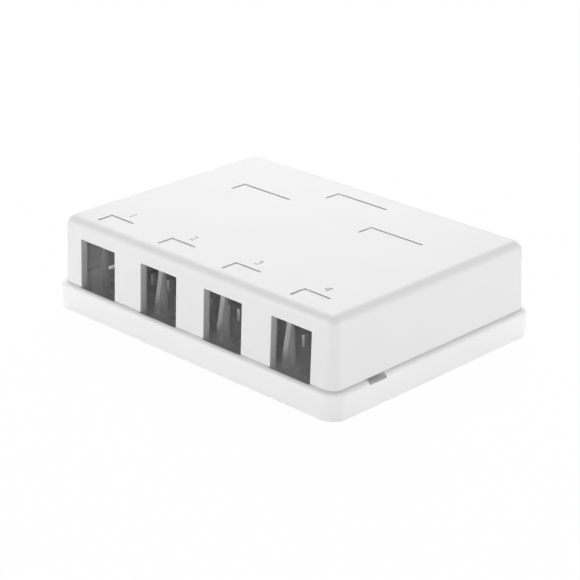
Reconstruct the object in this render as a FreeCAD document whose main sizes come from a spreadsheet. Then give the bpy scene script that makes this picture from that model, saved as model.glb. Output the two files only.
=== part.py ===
"""Surface mount jack box with four ports: a moulded base and the moulded cover that snaps on it.

Frame: millimetres, +Z up. The origin is the middle of the base's underside, +X runs along the row
of ports and the ports look towards -Y. Every size below is a real one, in the sheet called sizes.
"""
import FreeCAD, Part
import Sketcher
import math
import os
import re

doc = FreeCAD.newDocument("jack_box")

SIZES = [
    ("port_count", 4, "jack ports along the front"),
    ("port_pitch", 26.0, "from one port's middle to the next"),
    ("port_width", 14.8, "width of a port's notch"),
    ("port_height", 14.7, "height of a port's notch above the seam"),
    ("end_margin", 3.0, "cover left beyond the outermost bays, each end"),
    ("cover_depth", 80.0, "front to back at the seam"),
    ("cover_rise", 20.4, "height of the cover above the seam"),
    ("cover_wall", 2.4, "side wall of the cover"),
    ("cover_roof", 2.2, "top wall of the cover"),
    ("cover_draft", 2.35, "lean of the cover's walls, degrees"),
    ("cover_corner", 3.5, "radius of the cover's upright corners"),
    ("cover_edge", 2.9, "radius of the cover's top edge"),
    ("base_height", 8.0, "underside to seam"),
    ("base_floor", 2.5, "floor of the base"),
    ("ledge", 1.6, "how far the base stands out round the cover"),
    ("ledge_round", 1.5, "radius of the ledge's outer edge"),
    ("pry_length", 6.8, "length of a pry notch"),
    ("pry_depth", 1.15, "depth of a pry notch below the seam"),
    ("pry_setback", 15.6, "cover's front to the middle of a pry notch"),
    ("fit_gap", 0.35, "play between the base's uprights and the cover's walls"),
    ("recess_reach", 0.45, "recess in the rim under each port, ahead of the cover's front"),
    ("window_setback", 11.35, "cover's front to the floor window under each jack"),
    ("window_length", 18.0, "floor window along the row"),
    ("window_depth", 7.0, "floor window front to back"),
    ("post_setback", 12.7, "cover's front to the front of the jack posts"),
    ("post_width", 2.4, "jack post, along the row"),
    ("post_deep", 1.8, "jack post, front to back"),
    ("post_tall", 17.5, "jack post above the floor"),
    ("post_taper", 1.2, "lean of a jack post's sides, degrees"),
    ("brace_width", 1.7, "brace along the row"),
    ("brace_reach", 2.1, "brace's foot ahead of its post"),
    ("brace_foot", 1.4, "thickness of a brace at the floor"),
    ("brace_tall", 15.0, "height at which a brace meets its post"),
    ("slot_width", 0.75, "slot behind a brace, at the floor"),
    ("slot_tall", 5.7, "height of that slot"),
    ("stop_setback", 24.0, "cover's front to the stops behind a jack"),
    ("inner_stops", 7.2, "between the two inner stops of one jack"),
    ("outer_stops", 15.4, "between the two outer stops of one jack"),
    ("stop_width", 1.0, "jack stop, along the row"),
    ("stop_deep", 1.8, "jack stop, front to back"),
    ("stop_tall", 3.7, "jack stop above the floor"),
    ("tie_setback", 44.0, "cover's front to the cable tie anchors"),
    ("tie_stem", 2.4, "anchor's stem along the row"),
    ("tie_head", 7.0, "anchor's head along the row"),
    ("tie_deep", 4.0, "anchor front to back"),
    ("tie_clear", 3.4, "height under an anchor's head"),
    ("tie_cap", 1.4, "thickness of an anchor's head"),
    ("screw_spacing", 83.3, "between the wall screws"),
    ("screw_hole", 4.4, "wall screw hole, across"),
    ("screw_boss", 10.0, "raised seat round a screw hole, across"),
    ("boss_tall", 1.5, "raised seat above the floor"),
    ("screw_offset", 14.0, "wall screws behind the middle of the box"),
    ("entry_length", 34.0, "floor cable entry along the row"),
    ("entry_depth", 14.0, "floor cable entry front to back"),
    ("entry_setback", 17.0, "cover's back to the middle of the floor entry"),
    ("entry_corner", 3.0, "corner radius of the floor entry"),
    ("tongue_width", 8.0, "snap tongue along the side"),
    ("tongue_wall", 1.2, "snap tongue thickness"),
    ("tongue_rise", 5.2, "snap tongue above the seam"),
    ("tongue_front", 30.0, "cover's front to the first pair of tongues"),
    ("tongue_back", 62.0, "cover's front to the second pair of tongues"),
    ("nose", 0.6, "how far a tongue's nose stands out"),
    ("nose_rise", 3.3, "underside of the nose above the seam"),
    ("nose_flat", 0.5, "upright face of the nose"),
    ("catch", 0.7, "how far the cover's catch stands in"),
    ("catch_rise", 2.8, "top of the catch above the seam"),
    ("catch_tall", 1.4, "catch's height"),
    ("catch_gap", 0.2, "play between nose and catch as the tongue is pressed in"),
    ("lip_wall", 1.2, "thickness of the lips inside the cover's end walls"),
    ("lip_rise", 1.5, "height of those lips above the seam"),
    ("keeper_length", 12.0, "back keeper tab along the row"),
    ("keeper_wall", 1.4, "thickness of a back keeper tab"),
    ("keeper_spacing", 60.0, "between the two back keeper tabs"),
    ("keeper_rise", 4.0, "back keeper tab above the seam"),
    ("knock_width", 20.0, "rear break-out panel along the row"),
    ("knock_height", 12.0, "rear break-out panel above the seam"),
    ("knock_skin", 0.8, "wall left in the break-out panel"),
    ("score_width", 0.6, "groove round the break-out panel"),
    ("score_depth", 0.4, "depth of that groove"),
    ("mark_width", 0.55, "engraved bracket's line width"),
    ("mark_depth", 0.3, "engraved bracket's depth"),
    ("small_mark", 9.5, "long arm of the bracket over each port"),
    ("mark_arm", 5.4, "short arm of every bracket"),
    ("small_setback", 10.15, "cover's front to the long arm over each port"),
    ("large_mark", 19.3, "long arm of the three large brackets"),
    ("outer_setback", 56.0, "cover's front to the outer large brackets"),
    ("middle_setback", 69.9, "cover's front to the middle large bracket"),
]

sheet = doc.addObject("Spreadsheet::Sheet", "sizes")
for row, (alias, value, meaning) in enumerate(SIZES, start=1):
    sheet.set(f"A{row}", alias)
    sheet.set(f"B{row}", str(value))
    sheet.set(f"C{row}", meaning)
    sheet.setAlias(f"B{row}", alias)
doc.recompute()

# Sizes worked out from the driving ones
WORKED = {
    "cover_length": "(port_count * port_pitch + 2 * end_margin)",
    "base_length": "(cover_length + 2 * ledge)",
    "base_depth": "(cover_depth + 2 * ledge)",
    "base_corner": "(cover_corner + ledge)",
    "inner_length": "(cover_length - 2 * cover_wall)",
    "inner_depth": "(cover_depth - 2 * cover_wall)",
    "inner_corner": "max(cover_corner - cover_wall; 1)",
    "inner_edge": "max(cover_edge - cover_roof; 0.6)",
    "lean": "tan(cover_draft)",
    "front": "(0 - cover_depth / 2)",
    "inner_front": "(front + cover_wall)",
    "first_port": "(0 - (port_count - 1) * port_pitch / 2)",
    "first_post": "(first_port - port_pitch / 2)",
    "port_run": "((port_count - 1) * port_pitch)",
    "post_run": "(port_count * port_pitch)",
    "catch_tip": "(inner_length / 2 - (catch_rise - catch_tall / 2) * lean - catch)",
    "nose_tip": "(catch_tip - catch_gap)",
    "tongue_face": "(nose_tip - nose)",
    "cover_top": "(base_height + cover_rise)",
}
NAMES = [alias for alias, value, meaning in SIZES]


def expand(text):
    """Turn plain size words into an expression that reads the sheet."""
    word = re.compile(r"[a-z_]+")
    while any(name in WORKED for name in word.findall(text)):
        text = word.sub(lambda found: WORKED.get(found.group(), found.group()), text)
    return word.sub(lambda found: "sizes." + found.group() if found.group() in NAMES else found.group(), text)


def measure(text):
    """The present value of an expression in plain size words."""
    value = sheet.evalExpression(expand(text))
    return float(getattr(value, "Value", value))


def bind(item, prop, text):
    """Tie a property of the document's object to the sheet."""
    item.setExpression(prop, expand(text))


def new_body(label):
    body = doc.addObject("PartDesign::Body", label)
    body.Label = label
    return body


def sketch_on(body, name, role, offset="0"):
    """A sketch on one of the body's own origin planes, moved along that plane's normal."""
    sketch = body.newObject("Sketcher::SketchObject", name)
    plane = next(feature for feature in body.Origin.OriginFeatures if feature.Role == role)
    sketch.AttachmentSupport = (plane, [""])
    sketch.MapMode = "FlatFace"
    bind(sketch, "AttachmentOffset.Base.z", offset)
    return sketch


def dimension(sketch, kind, line, end, text):
    """Place one point of the sketch by its distance from the sketch's origin."""
    number = sketch.addConstraint(Sketcher.Constraint(kind, -1, 1, line, end, measure(text)))
    sketch.setExpression(f"Constraints[{number}]", expand(text))


def add_outline(sketch, points):
    """A closed outline of straight lines, each corner given by two expressions."""
    first = sketch.GeometryCount
    corners = [FreeCAD.Vector(measure(across), measure(up), 0) for across, up in points]
    count = len(corners)
    for number in range(count):
        sketch.addGeometry(Part.LineSegment(corners[number], corners[(number + 1) % count]))
    for number, (across, up) in enumerate(points):
        following = first + (number + 1) % count
        sketch.addConstraint(Sketcher.Constraint("Coincident", first + number, 2, following, 1))
        dimension(sketch, "DistanceX", first + number, 1, across)
        dimension(sketch, "DistanceY", first + number, 1, up)


def add_rectangle(sketch, left, right, low, high):
    add_outline(sketch, [(left, low), (right, low), (right, high), (left, high)])


def add_rounded(sketch, middle, length, width, radius):
    """A rectangle with round corners about a middle on the sketch's upright axis."""
    first = sketch.GeometryCount
    half_long = measure(f"{length} / 2 - {radius}")
    half_wide = measure(f"{width} / 2 - {radius}")
    round_size = measure(radius)
    quarters = [(1, 1, 0), (-1, 1, 90), (-1, -1, 180), (1, -1, 270)]
    arcs = []
    for right, up, start in quarters:
        centre = FreeCAD.Vector(right * half_long, measure(middle) + up * half_wide, 0)
        circle = Part.Circle(centre, FreeCAD.Vector(0, 0, 1), round_size)
        arcs.append(Part.ArcOfCircle(circle, math.radians(start), math.radians(start + 90)))
    for number, arc in enumerate(arcs):
        sketch.addGeometry(arc)
        sketch.addGeometry(Part.LineSegment(arc.EndPoint, arcs[(number + 1) % 4].StartPoint))
    for number, (right, up, start) in enumerate(quarters):
        arc = first + 2 * number
        following = first + (2 * number + 2) % 8
        sketch.addConstraint(Sketcher.Constraint("Tangent", arc, 2, arc + 1, 1))
        sketch.addConstraint(Sketcher.Constraint("Tangent", arc + 1, 2, following, 1))
        dimension(sketch, "DistanceX", arc, 3, f"{right} * ({length} / 2 - {radius})")
        dimension(sketch, "DistanceY", arc, 3, f"{middle} + {up} * ({width} / 2 - {radius})")
        size = sketch.addConstraint(Sketcher.Constraint("Radius", arc, round_size))
        sketch.setExpression(f"Constraints[{size}]", expand(radius))


def add_circle(sketch, across, up, diameter):
    centre = FreeCAD.Vector(measure(across), measure(up), 0)
    circle = Part.Circle(centre, FreeCAD.Vector(0, 0, 1), measure(diameter) / 2)
    number = sketch.addGeometry(circle)
    dimension(sketch, "DistanceX", number, 3, across)
    dimension(sketch, "DistanceY", number, 3, up)
    size = sketch.addConstraint(Sketcher.Constraint("Diameter", number, measure(diameter)))
    sketch.setExpression(f"Constraints[{size}]", expand(diameter))


def add_feature(body, kind, name, sketch, length, taper="0", reverse=False, both_ways=False):
    """Pad or pocket a sketch, and stop if it adds or removes nothing."""
    before = body.Shape.Volume if body.Shape and not body.Shape.isNull() else 0
    feature = body.newObject(kind, name)
    feature.Profile = sketch
    feature.Reversed = reverse
    feature.Midplane = both_ways
    feature.Refine = False
    bind(feature, "Length", length)
    bind(feature, "TaperAngle", taper)
    doc.recompute()
    change = body.Shape.Volume - before
    if (change <= 0) == (kind == "PartDesign::Pad"):
        raise RuntimeError(f"{name} changed the volume by {change}")
    return feature


def add_pad(body, name, sketch, length, **options):
    return add_feature(body, "PartDesign::Pad", name, sketch, length, **options)


def add_pocket(body, name, sketch, length, **options):
    return add_feature(body, "PartDesign::Pocket", name, sketch, length, **options)


def repeat_along_row(body, name, originals, run, count):
    """Copies of features spread evenly along the row of ports."""
    pattern = body.newObject("PartDesign::LinearPattern", name)
    pattern.Originals = originals
    pattern.Refine = False
    axis = next(feature for feature in body.Origin.OriginFeatures if feature.Role == "X_Axis")
    pattern.Direction = (axis, [""])
    bind(pattern, "Length", run)
    bind(pattern, "Occurrences", count)
    body.Tip = pattern
    doc.recompute()
    return pattern


def mirror_across(body, name, originals, role):
    """The same features on the other side of one of the body's own planes."""
    mirror = body.newObject("PartDesign::Mirrored", name)
    mirror.Originals = originals
    mirror.Refine = False
    plane = next(feature for feature in body.Origin.OriginFeatures if feature.Role == role)
    mirror.MirrorPlane = (plane, [""])
    body.Tip = mirror
    doc.recompute()
    return mirror


def round_edges(body, name, radius, chosen):
    """Fillet the edges of the body's last feature for which the test holds."""
    last = body.Tip
    names = [f"Edge{n}" for n, edge in enumerate(last.Shape.Edges, start=1) if chosen(edge.BoundBox)]
    fillet = body.newObject("PartDesign::Fillet", name)
    fillet.Base = (last, names)
    bind(fillet, "Radius", radius)
    doc.recompute()
    return fillet


def level(height):
    """A test for edges that lie flat at the given height."""
    return lambda box: abs(box.ZMin - height) < 0.01 and abs(box.ZMax - height) < 0.01


def add_tray(base):
    """The base's floor and rim, with the rounded ledge that shows all round the cover."""
    outline = sketch_on(base, "base_outline", "XY_Plane")
    add_rounded(outline, "0", "base_length", "base_depth", "base_corner")
    add_pad(base, "base_block", outline, "base_height")
    round_edges(base, "ledge_rounding", "ledge_round", level(measure("base_height")))
    hollow = sketch_on(base, "hollow_outline", "XY_Plane", "base_height")
    add_rounded(hollow, "0", "inner_length", "inner_depth", "inner_corner")
    add_pocket(base, "tray_hollow", hollow, "base_height - base_floor")


def add_pry_notches(base):
    """A slot across the rim at each end, through which a blade lifts the cover."""
    notch = sketch_on(base, "pry_profile", "YZ_Plane")
    middle = "front + pry_setback"
    add_rectangle(notch, f"{middle} - pry_length / 2", f"{middle} + pry_length / 2",
                  "base_height - pry_depth", "base_height + pry_depth")
    add_pocket(base, "pry_notches", notch, "base_length + 2 * ledge", both_ways=True)


def add_port_recesses(base):
    """Recesses behind the ledge, one under each port, for the lower edge of a jack's face."""
    outline = sketch_on(base, "recess_outline", "XY_Plane", "base_height")
    add_rectangle(outline, "first_port - port_width / 2", "first_port + port_width / 2",
                  "front - recess_reach", "inner_front + cover_wall")
    recess = add_pocket(base, "recess", outline, "base_height - base_floor")
    repeat_along_row(base, "recesses", [recess], "port_run", "port_count")


def add_floor_windows(base):
    """Windows through the floor, one under each jack, whose front edge takes the jack's hook."""
    outline = sketch_on(base, "window_outline", "XY_Plane", "base_height")
    window_front = "front + window_setback"
    add_rectangle(outline, "first_port - window_length / 2", "first_port + window_length / 2",
                  window_front, f"{window_front} + window_depth")
    window = add_pocket(base, "window", outline, "2 * base_height")
    repeat_along_row(base, "floor_windows", [window], "port_run", "port_count")


def add_jack_posts(base):
    """Tapered posts between the bays, each with a brace leaning on it and a narrow slot between."""
    foot = sketch_on(base, "post_foot", "XY_Plane", "base_floor / 2")
    post_front = "front + post_setback"
    add_rectangle(foot, "first_post - post_width / 2", "first_post + post_width / 2",
                  post_front, f"{post_front} + post_deep")
    post = add_pad(base, "post", foot, "post_tall + base_floor / 2", taper="0 - post_taper")
    side = sketch_on(base, "brace_profile", "YZ_Plane", "first_post")
    toe = f"{post_front} - brace_reach"
    heel = f"{toe} + brace_foot"
    inside_post = f"{post_front} + post_deep / 2"
    add_outline(side, [
        (toe, "base_floor / 2"),
        (heel, "base_floor / 2"),
        (heel, "base_floor"),
        (f"{heel} + slot_width / 3", "base_floor + slot_tall"),
        (f"{heel} + slot_width", "base_floor"),
        (f"{heel} + slot_width", "base_floor / 2"),
        (inside_post, "base_floor / 2"),
        (inside_post, "base_floor + brace_tall"),
        (toe, "base_floor"),
    ])
    brace = add_pad(base, "brace", side, "brace_width", both_ways=True)
    repeat_along_row(base, "jack_posts", [post, brace], "post_run", "port_count + 1")


def add_jack_stops(base):
    """A row of four short stops behind each jack."""
    feet = sketch_on(base, "stop_feet", "XY_Plane", "base_floor / 2")
    stop_front = "front + stop_setback"
    for spacing in ("0 - outer_stops", "0 - inner_stops", "inner_stops", "outer_stops"):
        middle = f"first_port + ({spacing}) / 2"
        add_rectangle(feet, f"{middle} - stop_width / 2", f"{middle} + stop_width / 2",
                      stop_front, f"{stop_front} + stop_deep")
    stops = add_pad(base, "stops", feet, "stop_tall + base_floor / 2")
    repeat_along_row(base, "jack_stops", [stops], "port_run", "port_count")


def trim_end_posts(base):
    """Cut the outermost posts back where the cover's end walls come down past them."""
    rise = "cover_rise - cover_roof"
    wall = "inner_length / 2 - fit_gap"
    beyond = "base_length / 2 + ledge"
    profile = sketch_on(base, "end_trim_profile", "XZ_Plane")
    add_outline(profile, [
        (wall, "base_height"),
        (beyond, "base_height"),
        (beyond, f"base_height + {rise}"),
        (f"{wall} - ({rise}) * lean", f"base_height + {rise}"),
    ])
    trim = add_pocket(base, "end_trim", profile, "base_depth", both_ways=True)
    mirror_across(base, "end_trims", [trim], "YZ_Plane")


def add_tie_anchors(base):
    """T-shaped anchors for cable ties, one behind each jack."""
    front = "front + tie_setback"
    profile = sketch_on(base, "anchor_profile", "XZ_Plane", f"0 - ({front})")
    under = "base_floor + tie_clear"
    top = f"{under} + tie_cap"
    add_outline(profile, [
        ("first_port - tie_stem / 2", "base_floor / 2"),
        ("first_port + tie_stem / 2", "base_floor / 2"),
        ("first_port + tie_stem / 2", under),
        ("first_port + tie_head / 2", under),
        ("first_port + tie_head / 2", top),
        ("first_port - tie_head / 2", top),
        ("first_port - tie_head / 2", under),
        ("first_port - tie_stem / 2", under),
    ])
    anchor = add_pad(base, "anchor", profile, "tie_deep", both_ways=True)
    repeat_along_row(base, "tie_anchors", [anchor], "port_run", "port_count")


def add_fixings(base):
    """Raised screw seats with their holes, and the cable entry through the floor."""
    seats = sketch_on(base, "screw_seats", "XY_Plane", "base_floor / 2")
    holes = sketch_on(base, "screw_holes", "XY_Plane", "base_height")
    for side in ("-1", "1"):
        across = f"{side} * screw_spacing / 2"
        add_circle(seats, across, "screw_offset", "screw_boss")
        add_circle(holes, across, "screw_offset", "screw_hole")
    add_pad(base, "screw_bosses", seats, "boss_tall + base_floor / 2")
    add_pocket(base, "screw_bores", holes, "2 * base_height")
    entry = sketch_on(base, "entry_outline", "XY_Plane", "base_height")
    add_rounded(entry, "cover_depth / 2 - entry_setback", "entry_length", "entry_depth", "entry_corner")
    add_pocket(base, "floor_entry", entry, "2 * base_height")


def add_snap_tongues(base):
    """Springy tongues at both ends whose noses hold the cover's catches down."""
    face = "tongue_face"
    nose_under = "base_height + nose_rise"
    top = "base_height + tongue_rise"
    tongues = []
    for name in ("tongue_front", "tongue_back"):
        profile = sketch_on(base, f"{name}_profile", "XZ_Plane", f"0 - (front + {name})")
        add_outline(profile, [
            (f"{face} - tongue_wall", "base_floor / 2"),
            (face, "base_floor / 2"),
            (face, nose_under),
            (f"{face} + nose", nose_under),
            (f"{face} + nose", f"{nose_under} + nose_flat"),
            (f"{face} - nose / 3", top),
            (f"{face} - tongue_wall", top),
        ])
        tongues.append(add_pad(base, f"{name}_pad", profile, "tongue_width", both_ways=True))
    mirror_across(base, "snap_tongues", tongues, "YZ_Plane")


def add_end_lips(base):
    """A low lip at each front corner that keeps the cover's end wall in line."""
    wall = "inner_length / 2"
    top = "base_height + lip_rise"
    lip_back = "front + pry_setback - pry_length / 2 - lip_wall / 2"
    profile = sketch_on(base, "lip_profile", "XZ_Plane", f"0 - ({lip_back})")
    add_outline(profile, [
        (f"{wall} - fit_gap - lip_wall", "base_floor / 2"),
        (f"{wall} + cover_wall / 2", "base_floor / 2"),
        (f"{wall} + cover_wall / 2", "base_height"),
        (f"{wall} - fit_gap", "base_height"),
        (f"{wall} - fit_gap - lip_rise * lean", top),
        (f"{wall} - fit_gap - lip_wall", top),
    ])
    lip = add_pad(base, "lip", profile, f"{lip_back} - inner_front - fit_gap - inner_corner")
    mirror_across(base, "end_lips", [lip], "YZ_Plane")


def add_keepers(base):
    """Two tabs that keep the cover's back wall in line."""
    back = "0 - inner_front"
    profile = sketch_on(base, "keeper_profile", "YZ_Plane", "keeper_spacing / 2")
    add_outline(profile, [
        (f"{back} + cover_wall / 2", "base_floor / 2"),
        (f"{back} + cover_wall / 2", "base_height"),
        (f"{back} - fit_gap", "base_height"),
        (f"{back} - fit_gap - keeper_rise * lean", "base_height + keeper_rise"),
        (f"{back} - fit_gap - keeper_wall - keeper_rise * lean", "base_height + keeper_rise"),
        (f"{back} - fit_gap - keeper_wall", "base_floor / 2"),
    ])
    keeper = add_pad(base, "keeper", profile, "keeper_length", both_ways=True)
    mirror_across(base, "keepers", [keeper], "YZ_Plane")


def make_base():
    base = new_body("base")
    add_tray(base)
    add_port_recesses(base)
    add_pry_notches(base)
    add_fixings(base)
    add_floor_windows(base)
    add_snap_tongues(base)
    add_end_lips(base)
    add_keepers(base)
    add_tie_anchors(base)
    add_jack_posts(base)
    trim_end_posts(base)
    add_jack_stops(base)
    base.Tip.Refine = True
    return base


def add_hood(cover):
    """The cover's shell: leaning walls, round upright corners and a round top edge."""
    outline = sketch_on(cover, "cover_outline", "XY_Plane", "base_height")
    add_rounded(outline, "0", "cover_length", "cover_depth", "cover_corner")
    add_pad(cover, "cover_block", outline, "cover_rise", taper="0 - cover_draft")
    round_edges(cover, "top_rounding", "cover_edge", level(measure("cover_top")))
    hollow = sketch_on(cover, "cover_hollow_outline", "XY_Plane", "base_height")
    add_rounded(hollow, "0", "inner_length", "inner_depth", "inner_corner")
    add_pocket(cover, "cover_hollow", hollow, "cover_rise - cover_roof", taper="0 - cover_draft", reverse=True)
    round_edges(cover, "roof_rounding", "inner_edge", level(measure("cover_top - cover_roof")))


def add_ports(cover):
    """Notches in the front wall, open at the seam, that show the jacks."""
    notch = sketch_on(cover, "port_outline", "XZ_Plane", "0 - front")
    add_rectangle(notch, "first_port - port_width / 2", "first_port + port_width / 2",
                  "base_height - cover_wall", "base_height + port_height")
    port = add_pocket(cover, "port", notch, "2 * cover_wall + port_height * lean")
    repeat_along_row(cover, "ports", [port], "port_run", "port_count")


def add_catches(cover):
    """Small ramps inside both end walls that the snap tongues hold."""
    wall = "inner_length / 2"
    top = "base_height + catch_rise"
    catches = []
    for name in ("tongue_front", "tongue_back"):
        profile = sketch_on(cover, f"{name}_catch", "XZ_Plane", f"0 - (front + {name})")
        add_outline(profile, [
            (f"{wall} + cover_wall / 3", f"{top} - catch_tall"),
            (f"{wall} - (catch_rise - catch_tall) * lean", f"{top} - catch_tall"),
            ("catch_tip", f"{top} - catch_tall / 2"),
            ("catch_tip", top),
            (f"{wall} + cover_wall / 3", top),
        ])
        catches.append(add_pad(cover, f"{name}_ramp", profile, "tongue_width", both_ways=True))
    mirror_across(cover, "catches", catches, "YZ_Plane")


def add_break_out(cover):
    """A thinned panel in the back wall, scored round outside, for a surface cable duct."""
    inside = sketch_on(cover, "panel_outline", "XZ_Plane", "0 - (cover_depth / 2 - 2 * cover_wall)")
    half = "knock_width / 2"
    low = "base_height - cover_wall"
    high = "base_height + knock_height"
    add_rectangle(inside, f"0 - {half}", half, low, high)
    add_pocket(cover, "break_out_panel", inside, "2 * cover_wall - knock_skin - knock_height * lean")
    outside = sketch_on(cover, "score_outline", "XZ_Plane", "0 - cover_depth / 2")
    add_outline(outside, [
        (f"0 - {half}", low),
        (f"0 - {half} + score_width", low),
        (f"0 - {half} + score_width", f"{high} - score_width"),
        (f"{half} - score_width", f"{high} - score_width"),
        (f"{half} - score_width", low),
        (half, low),
        (half, high),
        (f"0 - {half}", high),
    ])
    add_pocket(cover, "score_groove", outside, "score_depth + knock_height * lean", reverse=True)


def add_bracket(sketch, left, back, length):
    """One L-shaped mark: the long arm along the row, the short arm towards the front."""
    right = f"{left} + {length}"
    add_outline(sketch, [
        (left, f"{back} - mark_arm"),
        (f"{left} + mark_width", f"{back} - mark_arm"),
        (f"{left} + mark_width", f"{back} - mark_width"),
        (right, f"{back} - mark_width"),
        (right, back),
        (left, back),
    ])


def add_marks(cover):
    """The engraved brackets: one over each port and three large ones behind."""
    small = sketch_on(cover, "small_mark_outline", "XY_Plane", "cover_top")
    add_bracket(small, "first_port - small_mark / 2", "front + small_setback + mark_width / 2", "small_mark")
    mark = add_pocket(cover, "small_mark_groove", small, "mark_depth")
    repeat_along_row(cover, "small_marks", [mark], "port_run", "port_count")
    large = sketch_on(cover, "large_mark_outline", "XY_Plane", "cover_top")
    for place, setback in (("-1", "outer_setback"), ("0", "middle_setback"), ("1", "outer_setback")):
        left = f"{place} * port_pitch - large_mark / 2"
        add_bracket(large, left, f"front + {setback} + mark_width / 2", "large_mark")
    add_pocket(cover, "large_marks", large, "mark_depth")


def make_cover():
    cover = new_body("cover")
    add_hood(cover)
    add_ports(cover)
    add_catches(cover)
    add_break_out(cover)
    add_marks(cover)
    cover.Tip.Refine = True
    return cover


def check_and_export(bodies):
    """Write each piece's STEP file once every object and every shape is sound."""
    doc.recompute()
    failed = [item.Name for item in doc.Objects if {"Invalid", "Error"} & set(item.State)]
    if failed:
        raise RuntimeError(f"failed objects: {failed}")
    os.makedirs("parts", exist_ok=True)
    for body in bodies:
        shape = body.Shape
        if shape.isNull() or not shape.isValid():
            raise RuntimeError(f"{body.Label} has no sound shape")
        print(f"{body.Label}: {len(shape.Solids)} solid, {shape.Volume:.1f} mm3, {shape.BoundBox}")
    for body in bodies:
        body.Shape.exportStep(f"parts/{body.Label}.step")


check_and_export([make_base(), make_cover()])
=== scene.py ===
"""Looks of the surface mount jack box: white satin plastic on a plain white table."""

import math

import bmesh
import bpy
from mathutils import Matrix, Vector


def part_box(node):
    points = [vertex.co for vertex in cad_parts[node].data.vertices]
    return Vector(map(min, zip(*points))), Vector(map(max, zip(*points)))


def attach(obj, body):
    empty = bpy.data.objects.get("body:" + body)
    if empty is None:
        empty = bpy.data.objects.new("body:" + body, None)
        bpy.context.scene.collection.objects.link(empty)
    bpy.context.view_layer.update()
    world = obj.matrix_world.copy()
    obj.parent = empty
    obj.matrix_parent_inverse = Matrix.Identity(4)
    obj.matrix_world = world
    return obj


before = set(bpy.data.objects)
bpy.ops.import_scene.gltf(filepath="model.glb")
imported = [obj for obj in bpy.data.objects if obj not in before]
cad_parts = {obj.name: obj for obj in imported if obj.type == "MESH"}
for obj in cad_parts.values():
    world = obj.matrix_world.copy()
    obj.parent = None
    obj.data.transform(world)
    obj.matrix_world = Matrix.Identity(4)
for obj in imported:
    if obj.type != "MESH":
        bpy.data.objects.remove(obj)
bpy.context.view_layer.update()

# Lengths are in metres
MM = 0.001
PORT_COUNT = 4
PORT_PITCH = 26.0 * MM

# Camera, fitted to the photograph; its sensor and lens are in millimetres
CAMERA_AZIMUTH = math.radians(44.53)
CAMERA_ELEVATION = math.radians(22.88)
CAMERA_ROLL = math.radians(0.117)
CAMERA_DISTANCE = 559.2 * MM
CAMERA_AIM = Vector((-2.35, 2.134, 7.51)) * MM
CAMERA_SENSOR = 36
CAMERA_LENS = 118.84
CAMERA_NEAR = 0.01
CAMERA_FAR = 50

# Port numbers; the boldness and the smallest step of an outline are in the font's own unit
NUMBER_TALL = 3.0 * MM
NUMBER_DEEP = 0.25 * MM
NUMBER_Y = -25.5 * MM
NUMBER_BOLD = 0.012
NUMBER_STEP = 0.02
NUMBER_CURVE_POINTS = 3

# Engraved brackets; the setbacks run from the cover's front to the middle of the long arm.
# The solid's brackets are cut again here, wider by the spread all round and a little deeper.
MARK_WIDTH = 0.55 * MM
MARK_SPREAD = 0.2 * MM
MARK_DEEP = 0.35 * MM
MARK_ARM = 5.4 * MM
SMALL_MARK = 9.5 * MM
SMALL_SETBACK = 10.15 * MM
LARGE_MARK = 19.3 * MM
OUTER_SETBACK = 56.0 * MM
MIDDLE_SETBACK = 69.9 * MM

# Moulded edges: where faces meet at more than the sharp angle, they get a small radius
EDGE_ROUND = 0.15 * MM
EDGE_SEGMENTS = 2
SHARP_ANGLE = math.radians(35)
FLAT_ANGLE = math.radians(1)
WELD_DISTANCE = 0.001 * MM
LARGE_FACE_WEIGHT = 100

# Plastic: the share of light it gives back, and how much of that is left in its darkest clouds
# The base's share is set above the cover's as painted light, standing in for light thrown up from the table
# below.
TONE_WITH_PAINTED_UNDERLIGHT = {"base": 0.88, "cover": 0.80}
CLOUD_SHARE = 0.985
ROUGHNESS = (0.42, 0.54)
PLASTIC_IOR = 1.52

# Its three noises: scale per metre and detail; a span is the part of a noise that is used
CLOUDS = (45.0, 2.0)
CLOUD_SPAN = (0.3, 0.7)
RIPPLE = (420.0, 2.0)
RIPPLE_HEIGHT = 0.6
GRAIN = (2600.0, 3.0)
GRAIN_SPAN = (0.25, 0.75)
BUMP_STRENGTH = 0.35
BUMP_DISTANCE = 0.02 * MM

# Table: its part under the box ends inside the base's rounded corners; the rest shows mostly
# as plain background, and the share left over takes light and shadow
TABLE_HALF = 4.0
UNDER_BOX_INSET = 8.0 * MM
TABLE_BRIGHTNESS = 0.9
TABLE_BACKGROUND = 0.98

# Lamps: name, azimuth and elevation in degrees, distance, width, height, power in watts.
# The powers follow the photograph's levels of grey: the low lamps light the walls and the
# posts behind the ports, the others the top and the rounded edges.
LAMPS = [
    ("back_left", 225, 35, 0.9, 0.5, 0.5, 2.9),
    ("overhead", 225, 62, 0.9, 0.7, 0.7, 4.5),
    ("low_left", -50, 7, 0.8, 0.5, 0.18, 0.3),
    ("low_front", -20, 7, 0.8, 0.5, 0.18, 3.35),
    ("low_corner", 40, 7, 0.8, 0.5, 0.18, 0.55),
    ("low_right", 100, 7, 0.8, 0.5, 0.18, 2.65),
    ("low_back", 130, 7, 0.8, 0.5, 0.18, 0.85),
    ("high_corner", 45, 30, 0.8, 0.3, 0.3, 0.6),
]
AMBIENT = 0.01


def direction(azimuth, elevation):
    """Unit vector from the object towards a viewer; azimuth 0 is the side with the ports."""
    flat = math.cos(elevation)
    return Vector((math.sin(azimuth) * flat, -math.cos(azimuth) * flat, math.sin(elevation)))


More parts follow.
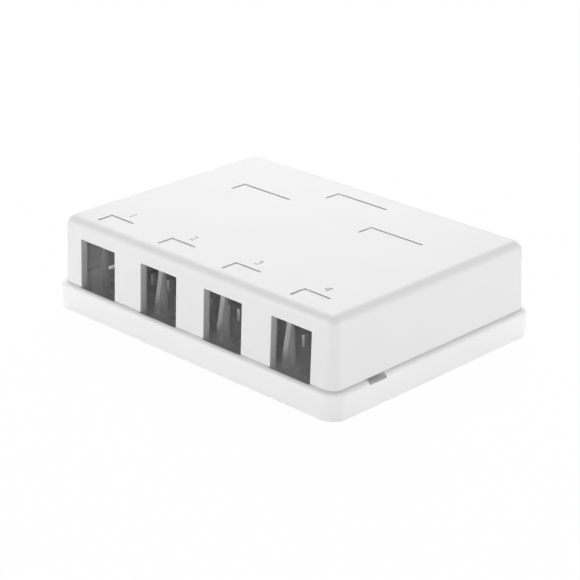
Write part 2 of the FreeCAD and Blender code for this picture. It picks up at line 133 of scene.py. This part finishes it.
def add_camera():
    """The photograph's camera, turned about its line of sight by the small roll."""
    back = direction(CAMERA_AZIMUTH, CAMERA_ELEVATION)
    level_right = Vector((math.cos(CAMERA_AZIMUTH), math.sin(CAMERA_AZIMUTH), 0))
    level_up = back.cross(level_right)
    right = level_right * math.cos(CAMERA_ROLL) + level_up * math.sin(CAMERA_ROLL)
    up = back.cross(right)
    lens = bpy.data.cameras.new("photo_camera")
    lens.sensor_width = CAMERA_SENSOR
    lens.lens = CAMERA_LENS
    lens.clip_start = CAMERA_NEAR
    lens.clip_end = CAMERA_FAR
    camera = bpy.data.objects.new("photo_camera", lens)
    turn = Matrix((right, up, back)).transposed().to_4x4()
    camera.matrix_world = Matrix.Translation(CAMERA_AIM + back * CAMERA_DISTANCE) @ turn
    bpy.context.scene.collection.objects.link(camera)
    bpy.context.scene.camera = camera


def add_lamp(name, azimuth, elevation, distance, width, height, power):
    """A soft box that faces the object."""
    light = bpy.data.lights.new(name, "AREA")
    light.shape = "RECTANGLE"
    light.size = width
    light.size_y = height
    light.energy = power
    lamp = bpy.data.objects.new(name, light)
    away = direction(math.radians(azimuth), math.radians(elevation))
    lamp.location = away * distance
    lamp.rotation_euler = away.to_track_quat("Z", "Y").to_euler()
    bpy.context.scene.collection.objects.link(lamp)


class Shader:
    """A small builder of the nodes of a material or a world."""

    def __init__(self, owner):
        owner.use_nodes = True
        self.owner = owner
        self.tree = owner.node_tree
        self.tree.nodes.clear()

    def put(self, socket, value):
        """Give a socket a constant, or link it to another node's output."""
        if isinstance(value, bpy.types.NodeSocket):
            self.tree.links.new(value, socket)
        else:
            socket.default_value = value

    def node(self, kind, **inputs):
        """A new node; an underscore in an input's name stands for a space."""
        made = self.tree.nodes.new(kind)
        for name, value in inputs.items():
            self.put(made.inputs[name.replace("_", " ")], value)
        return made

    def calculate(self, operation, *values):
        """The result of a calculation with two or three values."""
        made = self.node("ShaderNodeMath")
        made.operation = operation
        for socket, value in zip(made.inputs, values):
            self.put(socket, value)
        return made.outputs[0]

    def mix(self, factor, first, second):
        """A blend of two shaders."""
        made = self.node("ShaderNodeMixShader", Fac=factor)
        self.put(made.inputs[1], first.outputs[0])
        self.put(made.inputs[2], second.outputs[0])
        return made.outputs[0]

    def noise(self, place, scale, detail):
        texture = self.node("ShaderNodeTexNoise", Vector=place, Scale=scale, Detail=detail)
        return texture.outputs["Fac"]

    def ramp(self, value, span, result):
        """Stretch a value within one span onto another."""
        made = self.node("ShaderNodeMapRange", Value=value, From_Min=span[0], From_Max=span[1])
        self.put(made.inputs["To Min"], result[0])
        self.put(made.inputs["To Max"], result[1])
        return made.outputs["Result"]


def grey(level):
    return (level, level, level, 1.0)


def moulded_plastic(name, brightness):
    """White plastic with a fine satin grain and the faint clouding of a moulding."""
    shader = Shader(bpy.data.materials.new(name))
    place = shader.node("ShaderNodeTexCoord").outputs["Object"]
    clouds = shader.noise(place, *CLOUDS)
    ripple = shader.noise(place, *RIPPLE)
    grain = shader.noise(place, *GRAIN)
    tone = shader.node("ShaderNodeMix")
    tone.data_type = "RGBA"
    shader.put(tone.inputs["Factor"], shader.ramp(clouds, CLOUD_SPAN, (0.0, 1.0)))
    shader.put(tone.inputs["A"], grey(CLOUD_SHARE * brightness))
    shader.put(tone.inputs["B"], grey(brightness))
    bump = shader.node(
        "ShaderNodeBump",
        Height=shader.calculate("MULTIPLY_ADD", ripple, RIPPLE_HEIGHT, grain),
        Strength=BUMP_STRENGTH,
        Distance=BUMP_DISTANCE,
    )
    surface = shader.node(
        "ShaderNodeBsdfPrincipled",
        Base_Color=tone.outputs["Result"],
        Roughness=shader.ramp(grain, GRAIN_SPAN, ROUGHNESS),
        Normal=bump.outputs["Normal"],
        IOR=PLASTIC_IOR,
    )
    shader.node("ShaderNodeOutputMaterial", Surface=surface.outputs["BSDF"])
    return shader.owner


def is_background_ray(shader):
    """1 for rays that show the background: from the camera, off gloss and through clear things."""
    path = shader.node("ShaderNodeLightPath")
    camera, gloss, clear = (path.outputs[f"Is {kind} Ray"] for kind in ("Camera", "Glossy", "Transmission"))
    return shader.calculate("MAXIMUM", shader.calculate("MAXIMUM", camera, gloss), clear)


def matt_white(name, background_share):
    """Matt white; the share given shows as plain background and the rest takes light and shadow."""
    shader = Shader(bpy.data.materials.new(name))
    matt = shader.node("ShaderNodeBsdfDiffuse", Color=grey(TABLE_BRIGHTNESS))
    glow = shader.node("ShaderNodeEmission", Color=grey(1.0), Strength=1.0)
    share = shader.calculate("MULTIPLY", is_background_ray(shader), background_share)
    shader.node("ShaderNodeOutputMaterial", Surface=shader.mix(share, matt, glow))
    return shader.owner


def add_table():
    """A white table; the part under the box, seen through the base's holes, is no background."""
    low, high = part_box("base")
    inset = UNDER_BOX_INSET
    under = (low.x + inset, low.y + inset, high.x - inset, high.y - inset)
    whole = (-TABLE_HALF, -TABLE_HALF, TABLE_HALF, TABLE_HALF)
    corners = []
    for left, front, right, back in (whole, under):
        corners += [(left, front, 0), (right, front, 0), (right, back, 0), (left, back, 0)]
    around = [(0, 1, 5, 4), (1, 2, 6, 5), (2, 3, 7, 6), (3, 0, 4, 7)]
    mesh = bpy.data.meshes.new("table")
    mesh.from_pydata(corners, [], [(4, 5, 6, 7)] + around)
    mesh.materials.append(matt_white("under_box", 0.0))
    mesh.materials.append(matt_white("white_table", TABLE_BACKGROUND))
    for face in mesh.polygons[1:]:
        face.material_index = 1
    table = bpy.data.objects.new("table", mesh)
    bpy.context.scene.collection.objects.link(table)


def set_world():
    """A faint ambient light, seen as plain white behind the table and in reflections."""
    shader = Shader(bpy.data.worlds.new("studio"))
    ambient = shader.node("ShaderNodeBackground", Color=grey(1.0), Strength=AMBIENT)
    shown = shader.node("ShaderNodeBackground", Color=grey(1.0), Strength=1.0)
    mixed = shader.mix(is_background_ray(shader), ambient, shown)
    shader.node("ShaderNodeOutputWorld", Surface=mixed)
    bpy.context.scene.world = shader.owner


def number_outline(number):
    """The edges of a port number, as flat loops in the font's own unit."""
    text = bpy.data.curves.new(f"number_{number}", "FONT")
    text.body = str(number)
    text.resolution_u = NUMBER_CURVE_POINTS
    text.offset = NUMBER_BOLD
    text.fill_mode = "NONE"
    holder = bpy.data.objects.new("number_outline", text)
    bpy.context.scene.collection.objects.link(holder)
    bpy.context.view_layer.update()
    mesh = bpy.data.meshes.new_from_object(holder)
    bpy.data.objects.remove(holder)
    return mesh


def add_number(shape, number, across, top):
    """A port number as a solid that stands through the cover's top at its engraved depth."""
    solid = bmesh.new()
    solid.from_mesh(number_outline(number))
    bmesh.ops.remove_doubles(solid, verts=solid.verts, dist=NUMBER_STEP)
    bmesh.ops.triangle_fill(solid, edges=solid.edges, use_beauty=True, use_dissolve=False)
    raised = bmesh.ops.extrude_face_region(solid, geom=solid.faces[:])["geom"]
    upper = [item for item in raised if isinstance(item, bmesh.types.BMVert)]
    bmesh.ops.translate(solid, verts=upper, vec=(0, 0, 1))
    low = Vector(min(vertex.co[axis] for vertex in solid.verts) for axis in range(3))
    high = Vector(max(vertex.co[axis] for vertex in solid.verts) for axis in range(3))
    size = NUMBER_TALL / (high.y - low.y)
    place = Matrix.Translation((across, NUMBER_Y, top))
    scale = Matrix.Diagonal((size, size, 2 * NUMBER_DEEP, 1))
    solid.transform(place @ scale @ Matrix.Translation(-(low + high) / 2))
    mesh = bpy.data.meshes.new("number")
    solid.to_mesh(mesh)
    solid.free()
    shape.from_mesh(mesh)


def add_bracket(shape, middle, line, length, top):
    """An L-shaped bar: the long arm along the row, the short arm towards the front."""
    left = middle - length / 2 - MARK_SPREAD
    right = middle + length / 2 + MARK_SPREAD
    back = line + MARK_WIDTH / 2 + MARK_SPREAD
    front = line + MARK_WIDTH / 2 - MARK_ARM - MARK_SPREAD
    width = MARK_WIDTH + 2 * MARK_SPREAD
    outline = [
        (left, front),
        (left + width, front),
        (left + width, back - width),
        (right, back - width),
        (right, back),
        (left, back),
    ]
    under = [shape.verts.new((x, y, top - MARK_DEEP)) for x, y in outline]
    over = [shape.verts.new((x, y, top + MARK_DEEP)) for x, y in outline]
    shape.faces.new(under[::-1])
    shape.faces.new(over)
    for i in range(len(outline)):
        shape.faces.new((under[i - 1], under[i], over[i], over[i - 1]))


def mark_cutter():
    """All that is engraved in the cover's top, as solids to cut it with."""
    low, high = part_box("cover")
    shape = bmesh.new()
    for port in range(PORT_COUNT):
        across = (port - (PORT_COUNT - 1) / 2) * PORT_PITCH
        add_number(shape, port + 1, across, high.z)
        add_bracket(shape, across, low.y + SMALL_SETBACK, SMALL_MARK, high.z)
    for place, setback in ((-1, OUTER_SETBACK), (0, MIDDLE_SETBACK), (1, OUTER_SETBACK)):
        add_bracket(shape, place * PORT_PITCH, low.y + setback, LARGE_MARK, high.z)
    bmesh.ops.recalc_face_normals(shape, faces=shape.faces)
    mesh = bpy.data.meshes.new("mark_cutter")
    shape.to_mesh(mesh)
    shape.free()
    cutter = bpy.data.objects.new("mark_cutter", mesh)
    bpy.context.scene.collection.objects.link(cutter)
    cutter.hide_render = True
    cutter.hide_viewport = True
    return cutter


def soften_edges(node):
    """Give the solid's sharp edges the small radius that a mould leaves."""
    weld = node.modifiers.new("join_faces", "WELD")
    weld.merge_threshold = WELD_DISTANCE
    flat = node.modifiers.new("flat_faces", "DECIMATE")
    flat.decimate_type = "DISSOLVE"
    flat.angle_limit = FLAT_ANGLE
    bevel = node.modifiers.new("mould_radius", "BEVEL")
    bevel.width = EDGE_ROUND
    bevel.segments = EDGE_SEGMENTS
    bevel.limit_method = "ANGLE"
    bevel.angle_limit = SHARP_ANGLE


def engrave_marks(node):
    """Cut the numbers and brackets into the cover; the cutter moves with it."""
    cut = node.modifiers.new("engraved_marks", "BOOLEAN")
    cut.operation = "DIFFERENCE"
    cut.solver = "EXACT"
    cut.object = mark_cutter()
    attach(cut.object, "cover_body")


def even_shading(node):
    """Shade smoothly, led by the large faces, and keep the cutter's flat faces flat."""
    node.data.shade_smooth()
    normals = node.modifiers.new("even_shading", "WEIGHTED_NORMAL")
    normals.keep_sharp = True
    normals.weight = LARGE_FACE_WEIGHT


def finish_node(name):
    """Give one of the frame's nodes its soft edges, marks and plastic."""
    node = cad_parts[name]
    soften_edges(node)
    if name == "cover":
        engrave_marks(node)
    even_shading(node)
    # The base's lighter tone here is painted light from the table below, not a different plastic.
    material = moulded_plastic(f"{name}_plastic", TONE_WITH_PAINTED_UNDERLIGHT[name])
    node.data.materials.clear()
    node.data.materials.append(material)


add_camera()
set_world()
add_table()
for lamp in LAMPS:
    add_lamp(*lamp)
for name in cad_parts:
    finish_node(name)

bpy.context.scene.view_settings.view_transform = "Standard"
